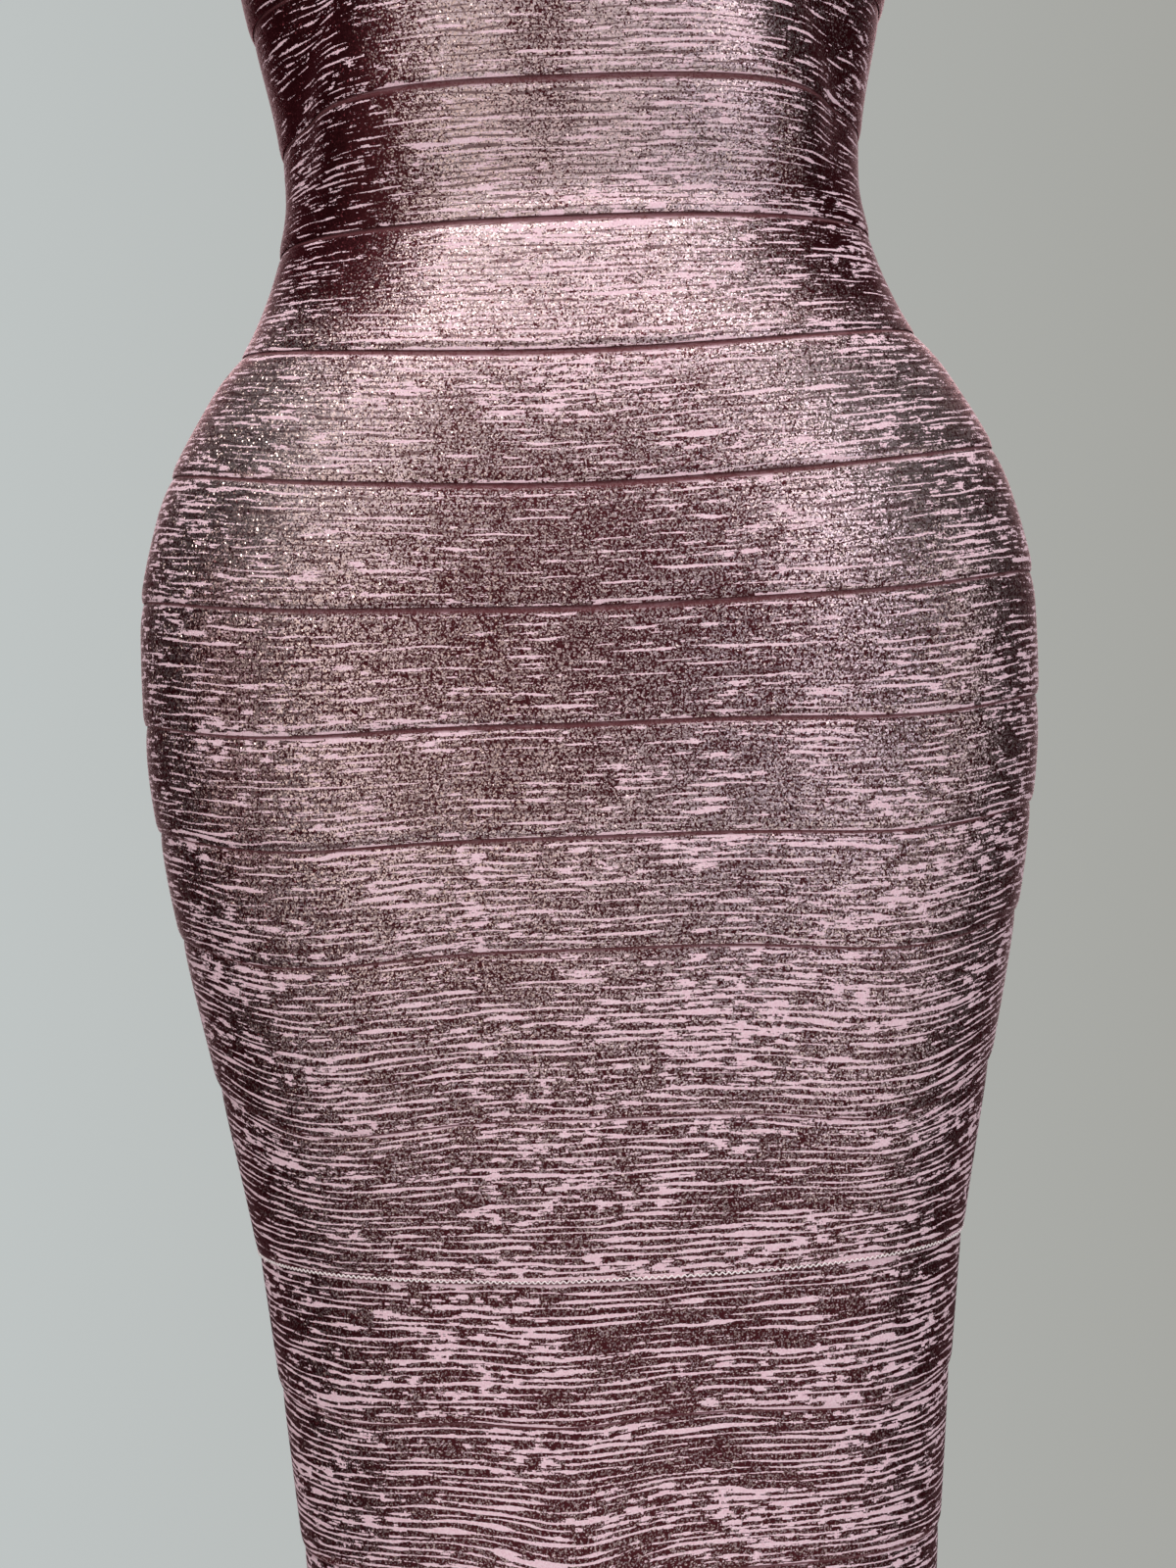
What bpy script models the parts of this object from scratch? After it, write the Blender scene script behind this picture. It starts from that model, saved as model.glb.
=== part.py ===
"""A banded bodycon dress in its worn form: a hollow shell of knitted bands with two shoulder straps.

Each band is a closed ring of cloth. Its lower edge laps over the tucked top edge of the band below, as where
such strips are linked together, so every seam shows as a small step. The straps are sewn inside the top band.

Units are metres and +Z is up. The origin is the middle of the shoulder line, where the straps rest on the
wearer. The front of the dress faces -Y, and its own left side is +X. Heights are counted from the shoulder
line, so they are negative all the way down.
"""

import math
from typing import NamedTuple

import bmesh
import bpy
import numpy as np

# ---------------------------------------------------------------- driving dimensions

WALL = 0.0012  # thickness of the knitted cloth
SEAM_GAP = 0.0003  # clearance left between two pieces that are sewn together
TUCK = 0.006  # how far a band's top edge runs up behind the band above
LAP = WALL + SEAM_GAP  # how far a band stands off where it laps over the next one
LAP_START = TUCK + 0.0006  # height over the seam at which the lapping edge reaches its full stand-off

AROUND = 44  # segments round a band
ASPECT = 1.45  # width to depth of a typical section, which spreads the segments evenly round it
ROUNDNESS = 2.2  # exponent of the body sections: 2 is an ellipse, more is squarer
TENT_ROUNDNESS = 3.6  # exponent of the stretched front panel over the ribs, which has rounded corners
TENT_BLEND = 0.010  # width of the soft crease behind that panel's corners

TROUGH_SIDE = -0.020  # the soft hollow between the legs lies a little to the dress's right of the middle
TROUGH_WIDTH = 0.030  # its half width
DROOP_WIDTH = 0.030  # half width of the stretch that sags with it

STRAP_WIDTH = 0.036
STRAP_WALL = 0.0016  # two layers of the knit pressed together
STRAP_LAP = 0.014  # length of strap sewn inside the top band
STRAP_CLEAR = 0.0010  # from the smooth inside of the top band, which leaves 0.3 mm to its flat facets
STRAP_COLUMNS = 4  # strips across a strap
STRAP_ROWS = 18  # rows between its two sewn ends
STRAP_TURN = 36.0  # degrees round from the middle front to a strap's middle, at the front edge
STRAP_BACK_TURN = 145.0  # the same at the back edge

TURN_STEP = 0.01  # radians: a step round the body that is short against its curves
POINT_STEP = 0.0001  # radians, or metres of height: the same for working out which way the cloth faces
SHARP_ANGLE = 40.0  # degrees between two faces past which their edge is drawn sharp


class Section(NamedTuple):
    """A level section of the dress's inside, in metres from the upright axis through its middle."""

    height: float
    half_width: float
    front_depth: float
    back_depth: float
    tent_half_width: float
    tent_depth: float
    trough: float


SECTIONS = (
    Section(-1.110, 0.1155, 0.072, 0.086, 0.070, 0.050, 0.002),
    Section(-1.042, 0.1175, 0.076, 0.084, 0.070, 0.050, 0.003),
    Section(-0.984, 0.1215, 0.082, 0.082, 0.070, 0.050, 0.004),
    Section(-0.926, 0.1267, 0.087, 0.086, 0.070, 0.050, 0.005),
    Section(-0.868, 0.1327, 0.092, 0.092, 0.070, 0.050, 0.004),
    Section(-0.817, 0.1393, 0.096, 0.099, 0.070, 0.050, 0.002),
    Section(-0.756, 0.1513, 0.101, 0.112, 0.070, 0.050, 0.0),
    Section(-0.694, 0.1648, 0.105, 0.126, 0.070, 0.050, 0.0),
    Section(-0.653, 0.1723, 0.107, 0.132, 0.070, 0.050, 0.0),
    Section(-0.612, 0.1770, 0.108, 0.132, 0.070, 0.050, 0.0),
    Section(-0.569, 0.1776, 0.108, 0.124, 0.070, 0.050, 0.0),
    Section(-0.524, 0.1696, 0.105, 0.111, 0.075, 0.055, 0.0),
    Section(-0.477, 0.1462, 0.099, 0.095, 0.085, 0.065, 0.0),
    Section(-0.454, 0.1292, 0.094, 0.087, 0.092, 0.071, 0.0),
    Section(-0.425, 0.1181, 0.089, 0.080, 0.098, 0.080, 0.0),
    Section(-0.397, 0.1131, 0.085, 0.077, 0.100, 0.090, 0.0),
    Section(-0.376, 0.1146, 0.085, 0.079, 0.101, 0.095, 0.0),
    Section(-0.316, 0.1276, 0.090, 0.088, 0.092, 0.103, 0.0),
    Section(-0.264, 0.1370, 0.096, 0.097, 0.094, 0.111, 0.0),
    Section(-0.215, 0.1425, 0.098, 0.102, 0.094, 0.104, 0.0),
    Section(-0.170, 0.1445, 0.095, 0.104, 0.090, 0.092, 0.0),
)


class Seam(NamedTuple):
    """A sewn line round the dress: its height at the middle front, and how it departs from level."""

    name: str  # of the band that starts here
    height: float
    side_rise: float
    back_rise: float
    corner_rise: float  # half way between the middle front and the side
    droop: float  # how far it sags over the hollow between the legs
    bend: float  # where the band under it bends most, as a share of its height, or 0 where it hardly bends


SEAMS = (
    Seam("band_01_top_edge", -0.179, -0.010, -0.024, 0.000, 0.000, 0.3),
    Seam("band_02_bust", -0.234, -0.002, -0.002, 0.000, 0.000, 0.5),
    Seam("band_03_bust", -0.282, 0.000, 0.000, 0.000, 0.000, 0.5),
    Seam("band_04_ribs", -0.329, 0.000, 0.000, 0.000, 0.000, 0.5),
    Seam("band_05_waist", -0.3755, -0.003, -0.002, 0.000, 0.000, 0.45),
    Seam("band_06_waist", -0.4257, 0.006, 0.003, 0.000, 0.000, 0.5),
    Seam("band_07_high_hip", -0.4765, 0.016, 0.009, 0.000, 0.000, 0.5),
    Seam("band_08_high_hip", -0.5256, 0.019, 0.012, -0.001, 0.000, 0.0),
    Seam("band_09_hip", -0.5700, 0.0145, 0.010, -0.002, 0.000, 0.0),
    Seam("band_10_hip", -0.6118, 0.0075, 0.006, -0.004, 0.000, 0.0),
    Seam("band_11_seat", -0.6524, 0.006, 0.003, -0.005, 0.000, 0.0),
    Seam("band_12_seat", -0.6928, 0.004, 0.000, -0.007, 0.000, 0.0),
    Seam("band_13_thigh", -0.7545, 0.007, 0.000, -0.010, 0.000, 0.0),
    Seam("band_14_thigh", -0.8140, -0.001, -0.002, 0.000, 0.001, 0.0),
    Seam("band_15_thigh", -0.8640, -0.005, -0.003, -0.004, 0.0055, 0.0),
    Seam("band_16_knee", -0.9230, -0.010, -0.006, 0.000, 0.011, 0.0),
    Seam("band_17_knee", -0.9810, -0.008, -0.006, 0.000, 0.012, 0.0),
    Seam("band_18_hem", -1.0390, -0.005, -0.004, 0.000, 0.008, 0.0),
    Seam("hem_edge", -1.0970, 0.000, 0.000, 0.000, 0.003, 0.0),
)


class StrapPoint(NamedTuple):
    """A point of a strap's middle line, on the wearer's side, between its two sewn ends."""

    side: float
    depth: float  # along Y: front is negative
    height: float
    outer_drop: float  # how far the strap's outer edge lies below its inner edge


STRAP_ROUTE = (
    StrapPoint(0.088, -0.078, -0.140, 0.003),
    StrapPoint(0.089, -0.066, -0.088, 0.005),
    StrapPoint(0.090, -0.046, -0.036, 0.008),
    StrapPoint(0.090, -0.024, -0.008, 0.010),
    StrapPoint(0.090, 0.002, 0.000, 0.010),
    StrapPoint(0.090, 0.030, -0.012, 0.009),
    StrapPoint(0.089, 0.056, -0.044, 0.007),
    StrapPoint(0.088, 0.076, -0.094, 0.004),
    StrapPoint(0.086, 0.088, -0.150, 0.003),
)

FOIL = (0.225, 0.145, 0.150, 1.0)  # rose foil print on the knit, linear colour
FOIL_METALLIC = 0.7
FOIL_ROUGHNESS = 0.4


# ---------------------------------------------------------------- the worn shape


def smooth_column(rows, column):
    """A function that runs smoothly through one column of a table, with no overshoot between its rows."""
    height = np.array([row.height for row in rows])
    value = np.array([getattr(row, column) for row in rows])
    step = np.diff(height)
    slope = np.diff(value) / step
    both = slope[1:] * slope[:-1]
    total = np.where(both > 0, slope[1:] + slope[:-1], 1.0)
    tangent = np.concatenate([slope[:1], np.where(both > 0, 2 * both / total, 0.0), slope[-1:]])

    def value_at(z):
        i = np.clip(np.searchsorted(height, z) - 1, 0, len(step) - 1)
        s = (z - height[i]) / step[i]
        ends = value[i] * (1 + 2 * s) * (1 - s) ** 2 + value[i + 1] * s * s * (3 - 2 * s)
        return ends + step[i] * (tangent[i] * s * (1 - s) ** 2 + tangent[i + 1] * s * s * (s - 1))

    return value_at


SIZE_AT = {column: smooth_column(SECTIONS, column) for column in Section._fields[1:]}


def body_point(turn, z):
    """The inside of the cloth, turn radians round from the middle front towards +X, at height z."""
    side, ahead = ASPECT * np.sin(turn), np.cos(turn)
    length = np.hypot(side, ahead)
    side, ahead = side / length, ahead / length
    size = {column: size_at(z) for column, size_at in SIZE_AT.items()}
    depth = np.where(ahead > 0, size["front_depth"], size["back_depth"])
    torso = (np.abs(side / size["half_width"]) ** ROUNDNESS + np.abs(ahead / depth) ** ROUNDNESS) ** (
        -1 / ROUNDNESS
    )
    tent = (
        np.abs(side / size["tent_half_width"]) ** TENT_ROUNDNESS
        + np.abs(ahead / size["tent_depth"]) ** TENT_ROUNDNESS
    ) ** (-1 / TENT_ROUNDNESS)
    tent = np.where(ahead > 0, tent, 0.0)
    share = np.clip(0.5 + (tent - torso) / (2 * TENT_BLEND), 0, 1)
    radius = torso + (tent - torso) * share + TENT_BLEND * share * (1 - share)
    hollow = np.exp(-(((radius * side - TROUGH_SIDE) / TROUGH_WIDTH) ** 2))
    radius = radius - size["trough"] * hollow * np.clip(ahead, 0, 1)
    return np.array([radius * side, -radius * ahead, z + 0 * radius])


def cloth_point(turn, z, offset):
    """The point that lies offset outside the cloth's inner face, square to it."""
    round_it = body_point(turn + POINT_STEP, z) - body_point(turn - POINT_STEP, z)
    up_it = body_point(turn, z + POINT_STEP) - body_point(turn, z - POINT_STEP)
    normal = np.cross(round_it, up_it)
    return body_point(turn, z) + offset * normal / np.linalg.norm(normal)


def seam_height(seam, turn):
    """The height of a seam, turn radians round from the middle front."""
    height = seam.height + seam.side_rise * math.sin(turn) ** 2
    if math.cos(turn) < 0:
        return height + seam.back_rise * math.cos(turn) ** 2
    half_width = float(SIZE_AT["half_width"](seam.height))
    off_middle = (half_width * math.sin(turn) - TROUGH_SIDE) / DROOP_WIDTH
    sag = seam.droop * math.exp(-(off_middle**2)) * math.cos(turn) ** 2
    return height + seam.corner_rise * math.sin(2 * turn) ** 4 - sag


# ---------------------------------------------------------------- meshes


def closed_body(name, points, faces):
    """A named object with its own material, from points and faces, with its normals facing out."""
    mesh = bpy.data.meshes.new(name)
    mesh.from_pydata(points, [], faces)
    work = bmesh.new()
    work.from_mesh(mesh)
    bmesh.ops.recalc_face_normals(work, faces=work.faces)
    work.to_mesh(mesh)
    work.free()
    mesh.shade_smooth()
    mesh.set_sharp_from_angle(angle=math.radians(SHARP_ANGLE))
    material = bpy.data.materials.new(name)
    material.use_nodes = True
    finish = material.node_tree.nodes["Principled BSDF"]
    finish.inputs["Base Color"].default_value = FOIL
    finish.inputs["Metallic"].default_value = FOIL_METALLIC
    finish.inputs["Roughness"].default_value = FOIL_ROUGHNESS
    mesh.materials.append(material)
    body = bpy.data.objects.new(name, mesh)
    bpy.context.scene.collection.objects.link(body)
    return body


def band_profile(upper, lower):
    """The corners of a band's cut edge, down the outside and up the inside.

    Each is (share of the way from the upper to the lower seam, height over that place, offset).
    """
    top = [(0.0, 0.0)] if upper is SEAMS[0] else [(0.0, TUCK), (0.0, 0.0)]
    bend = [(upper.bend, 0.0)] if upper.bend else []
    plain = [(share, over, LAP * share) for share, over in top + bend]
    lapped = [(1.0, LAP_START, LAP), (1.0, 0.0, LAP)]
    inside = plain + lapped
    outside = [(share, over, offset + WALL) for share, over, offset in inside]
    return outside + inside[::-1]


def make_band(upper, lower):
    """One knitted band: its profile carried round the body and closed on itself."""
    profile = band_profile(upper, lower)
    points = []
    for step in range(AROUND):
        turn = 2 * math.pi * step / AROUND
        high, low = seam_height(upper, turn), seam_height(lower, turn)
        for share, over, offset in profile:
            points.append(cloth_point(turn, high + (low - high) * share + over, offset))
    rows = len(profile)
    faces = []
    for step in range(AROUND):
        here, there = step * rows, (step + 1) % AROUND * rows
        for row in range(rows):
            after = (row + 1) % rows
            # Every diagonal rises towards the back, so that lapping walls stay parallel where they bend.
            low, high = (after, row) if row < rows // 2 else (row, after)
            near, far = (here, there) if step < AROUND // 2 else (there, here)
            faces += [(near + low, far + low, far + high), (near + low, far + high, near + high)]
    return closed_body(upper.name, points, faces)


def smooth_route(rows, share):
    """A point of the curve through the rows, share of the way along, as a Catmull-Rom spline."""
    place = share * (len(rows) - 1)
    i = min(int(place), len(rows) - 2)
    s = place - i
    before, start, end, after = (np.array(rows[min(max(i + k, 0), len(rows) - 1)]) for k in (-1, 0, 1, 2))
    return 0.5 * (
        2 * start
        + (end - before) * s
        + (2 * before - 5 * start + 4 * end - after) * s * s
        + (3 * start - before - 3 * end + after) * s**3
    )


def sewn_row(side, turn_degrees, above):
    """Points across a strap where it lies inside the top band, above the band's edge by that height."""
    turn = math.radians(turn_degrees)
    edge = SEAMS[0]
    stretch = body_point(turn + TURN_STEP, edge.height) - body_point(turn - TURN_STEP, edge.height)
    metres_per_turn = float(np.linalg.norm(stretch)) / (2 * TURN_STEP)
    towards_side = 1 if math.cos(turn) > 0 else -1
    row = []
    for column in range(STRAP_COLUMNS + 1):
        off_middle = (column / STRAP_COLUMNS - 0.5) * STRAP_WIDTH / metres_per_turn
        here = turn + towards_side * off_middle
        z = seam_height(edge, here) + above
        point = cloth_point(here, z, -(STRAP_CLEAR + STRAP_WALL))
        row.append(np.array([side * point[0], point[1], point[2]]))
    return row


def free_row(side, share):
    """Points across a strap between its sewn ends."""
    middle_x, depth, height, outer_drop = smooth_route(STRAP_ROUTE, share)
    row = []
    for column in range(STRAP_COLUMNS + 1):
        off_middle = column / STRAP_COLUMNS - 0.5
        across = math.sqrt(STRAP_WIDTH**2 - outer_drop**2) * off_middle
        row.append(np.array([side * (middle_x + across), depth, height - outer_drop * off_middle]))
    return row


def make_strap(name, side):
    """A flat strap from inside the front edge, over the shoulder, to inside the back edge."""
    grid = [sewn_row(side, STRAP_TURN, above) for above in (-STRAP_LAP, -STRAP_LAP / 2, 0.0)]
    grid += [free_row(side, step / STRAP_ROWS) for step in range(STRAP_ROWS + 1)]
    grid += [sewn_row(side, STRAP_BACK_TURN, above) for above in (0.0, -STRAP_LAP / 2, -STRAP_LAP)]
    under = np.array(grid)
    along = np.gradient(under, axis=0)
    across = np.gradient(under, axis=1) * side
    outward = np.cross(across, along)
    outward /= np.linalg.norm(outward, axis=2, keepdims=True)
    over = under + STRAP_WALL * outward
    rows, columns = under.shape[:2]
    points = list(under.reshape(-1, 3)) + list(over.reshape(-1, 3))
    top = rows * columns

    def index(row, column):
        return row * columns + column

    faces = []
    for row in range(rows - 1):
        for column in range(columns - 1):
            near, far = index(row, column), index(row + 1, column)
            ring = [near, near + 1, far + 1, far]
            faces += [ring[::-1], [top + corner for corner in ring]]
        for column in (0, columns - 1):
            near, far = index(row, column), index(row + 1, column)
            faces.append([near, far, top + far, top + near])
    for row in (0, rows - 1):
        for column in range(columns - 1):
            near, far = index(row, column), index(row, column + 1)
            faces.append([near, far, top + far, top + near])
    return closed_body(name, points, faces)


def main():
    """Build every band from the top edge to the hem, and the two straps."""
    for leftover in list(bpy.data.objects):
        bpy.data.objects.remove(leftover)
    for upper, lower in zip(SEAMS, SEAMS[1:]):
        make_band(upper, lower)
    make_strap("strap_left", 1.0)
    make_strap("strap_right", -1.0)


main()
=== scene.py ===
"""The looks of a banded bodycon dress: foil-printed knit bands, shoulder straps, cover stitch and studio.

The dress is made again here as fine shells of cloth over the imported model's solids. Each band is one closed
ring of knit whose lower edge is rolled out over the next band. The same tables and formulas give the solids
their shape, so every shell lies where its solid lies. Units are metres, +Z is up, the front faces -Y.
"""

from __future__ import annotations

import logging
import math
from dataclasses import dataclass
from enum import Enum
from typing import NamedTuple

import bpy
import numpy as np
from mathutils import Matrix, Vector

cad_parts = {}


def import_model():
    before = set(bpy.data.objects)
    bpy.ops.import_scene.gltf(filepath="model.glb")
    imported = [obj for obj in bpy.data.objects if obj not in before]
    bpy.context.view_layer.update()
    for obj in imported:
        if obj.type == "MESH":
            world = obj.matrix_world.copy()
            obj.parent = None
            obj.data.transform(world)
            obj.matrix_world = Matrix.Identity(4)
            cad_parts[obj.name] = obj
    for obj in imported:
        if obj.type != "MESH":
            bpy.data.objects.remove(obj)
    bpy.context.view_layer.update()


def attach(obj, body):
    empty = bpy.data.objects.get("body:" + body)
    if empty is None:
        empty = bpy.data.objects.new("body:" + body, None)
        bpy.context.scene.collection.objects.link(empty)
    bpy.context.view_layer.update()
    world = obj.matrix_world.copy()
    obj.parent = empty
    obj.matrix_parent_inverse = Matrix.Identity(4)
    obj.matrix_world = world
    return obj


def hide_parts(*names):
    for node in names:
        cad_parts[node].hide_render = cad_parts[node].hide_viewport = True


LOG = logging.getLogger("dress")
BODY = "root"
MM = 0.001
STITCHED_SEAM = 13  # the one seam of the table whose stitching shows

Tree = bpy.types.NodeTree
Socket = bpy.types.NodeSocket
Sockets = dict[str, Socket]


# ---------------------------------------------------------------- the worn shape


class Section(NamedTuple):
    """A level section of the cloth's inside, in metres from the upright axis through the dress."""

    height: float
    half_width: float
    front_depth: float
    back_depth: float
    tent_half_width: float  # of the stretched front panel that stands out over the ribs
    tent_depth: float
    trough: float  # depth of the soft hollow between the legs


SECTIONS = (
    Section(-1.110, 0.1155, 0.072, 0.086, 0.070, 0.050, 0.002),
    Section(-1.042, 0.1175, 0.076, 0.084, 0.070, 0.050, 0.003),
    Section(-0.984, 0.1215, 0.082, 0.082, 0.070, 0.050, 0.004),
    Section(-0.926, 0.1267, 0.087, 0.086, 0.070, 0.050, 0.005),
    Section(-0.868, 0.1327, 0.092, 0.092, 0.070, 0.050, 0.004),
    Section(-0.817, 0.1393, 0.096, 0.099, 0.070, 0.050, 0.002),
    Section(-0.756, 0.1513, 0.101, 0.112, 0.070, 0.050, 0.0),
    Section(-0.694, 0.1648, 0.105, 0.126, 0.070, 0.050, 0.0),
    Section(-0.653, 0.1723, 0.107, 0.132, 0.070, 0.050, 0.0),
    Section(-0.612, 0.1770, 0.108, 0.132, 0.070, 0.050, 0.0),
    Section(-0.569, 0.1776, 0.108, 0.124, 0.070, 0.050, 0.0),
    Section(-0.524, 0.1696, 0.105, 0.111, 0.075, 0.055, 0.0),
    Section(-0.477, 0.1462, 0.099, 0.095, 0.085, 0.065, 0.0),
    Section(-0.454, 0.1292, 0.094, 0.087, 0.092, 0.071, 0.0),
    Section(-0.425, 0.1181, 0.089, 0.080, 0.098, 0.080, 0.0),
    Section(-0.397, 0.1131, 0.085, 0.077, 0.100, 0.090, 0.0),
    Section(-0.376, 0.1146, 0.085, 0.079, 0.101, 0.095, 0.0),
    Section(-0.316, 0.1276, 0.090, 0.088, 0.092, 0.103, 0.0),
    Section(-0.264, 0.1370, 0.096, 0.097, 0.094, 0.111, 0.0),
    Section(-0.215, 0.1425, 0.098, 0.102, 0.094, 0.104, 0.0),
    Section(-0.170, 0.1445, 0.095, 0.104, 0.090, 0.092, 0.0),
)


class Seam(NamedTuple):
    """A sewn line round the dress: its height at the middle front, its bow and its edge."""

    name: str  # of the band that starts here
    height: float
    side_rise: float
    back_rise: float
    corner_rise: float  # half way between the middle front and the side
    droop: float  # how far it sags over the hollow between the legs
    roll: float  # how far the edge of the band above is rolled out, from 0, flat, to 1


SEAMS = (
    Seam("band_01_top_edge", -0.179, -0.010, -0.024, 0.000, 0.000, 0.8),
    Seam("band_02_bust", -0.234, -0.002, -0.002, 0.000, 0.000, 0.9),
    Seam("band_03_bust", -0.282, 0.000, 0.000, 0.000, 0.000, 0.9),
    Seam("band_04_ribs", -0.329, 0.000, 0.000, 0.000, 0.000, 0.9),
    Seam("band_05_waist", -0.3755, -0.003, -0.002, 0.000, 0.000, 1.0),
    Seam("band_06_waist", -0.4257, 0.006, 0.003, 0.000, 0.000, 1.0),
    Seam("band_07_high_hip", -0.4765, 0.016, 0.009, 0.000, 0.000, 1.0),
    Seam("band_08_high_hip", -0.5256, 0.019, 0.012, -0.001, 0.000, 1.0),
    Seam("band_09_hip", -0.5700, 0.0145, 0.010, -0.002, 0.000, 1.0),
    Seam("band_10_hip", -0.6118, 0.0075, 0.006, -0.004, 0.000, 0.8),
    Seam("band_11_seat", -0.6524, 0.006, 0.003, -0.005, 0.000, 0.6),
    Seam("band_12_seat", -0.6928, 0.004, 0.000, -0.007, 0.000, 0.5),
    Seam("band_13_thigh", -0.7545, 0.007, 0.000, -0.010, 0.000, 0.2),
    Seam("band_14_thigh", -0.8140, -0.001, -0.002, 0.000, 0.001, 0.3),
    Seam("band_15_thigh", -0.8640, -0.005, -0.003, -0.004, 0.0055, 0.35),
    Seam("band_16_knee", -0.9230, -0.010, -0.006, 0.000, 0.011, 0.5),
    Seam("band_17_knee", -0.9810, -0.008, -0.006, 0.000, 0.012, 0.6),
    Seam("band_18_hem", -1.0390, -0.005, -0.004, 0.000, 0.008, 0.6),
    Seam("hem_edge", -1.0970, 0.000, 0.000, 0.000, 0.003, 0.5),
)


class StrapPoint(NamedTuple):
    """A point of a strap's middle line, on the wearer's side, between its two sewn ends."""

    side: float
    depth: float  # along Y: front is negative
    height: float
    outer_drop: float  # how far the strap's outer edge lies below its inner edge


STRAP_ROUTE = (
    StrapPoint(0.088, -0.078, -0.140, 0.003),
    StrapPoint(0.089, -0.066, -0.088, 0.005),
    StrapPoint(0.090, -0.046, -0.036, 0.008),
    StrapPoint(0.090, -0.024, -0.008, 0.010),
    StrapPoint(0.090, 0.002, 0.000, 0.010),
    StrapPoint(0.090, 0.030, -0.012, 0.009),
    StrapPoint(0.089, 0.056, -0.044, 0.007),
    StrapPoint(0.088, 0.076, -0.094, 0.004),
    StrapPoint(0.086, 0.088, -0.150, 0.003),
)


def smooth_column(rows: tuple, column: str, z: np.ndarray) -> np.ndarray:
    """Read one column of a table smoothly, with no overshoot between its rows.

    Args:
        rows: The table, with its heights rising.
        column: The name of the column.
        z: The heights to read it at.

    Returns:
        The column's value at each height.
    """
    height = np.array([row.height for row in rows])
    value = np.array([getattr(row, column) for row in rows])
    step = np.diff(height)
    slope = np.diff(value) / step
    both = slope[1:] * slope[:-1]
    total = np.where(both > 0, slope[1:] + slope[:-1], 1.0)
    tangent = np.concatenate([slope[:1], np.where(both > 0, 2 * both / total, 0.0), slope[-1:]])
    i = np.clip(np.searchsorted(height, z) - 1, 0, len(step) - 1)
    s = (z - height[i]) / step[i]
    ends = value[i] * (1 + 2 * s) * (1 - s) ** 2 + value[i + 1] * s * s * (3 - 2 * s)
    return ends + step[i] * (tangent[i] * s * (1 - s) ** 2 + tangent[i + 1] * s * s * (s - 1))


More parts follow.
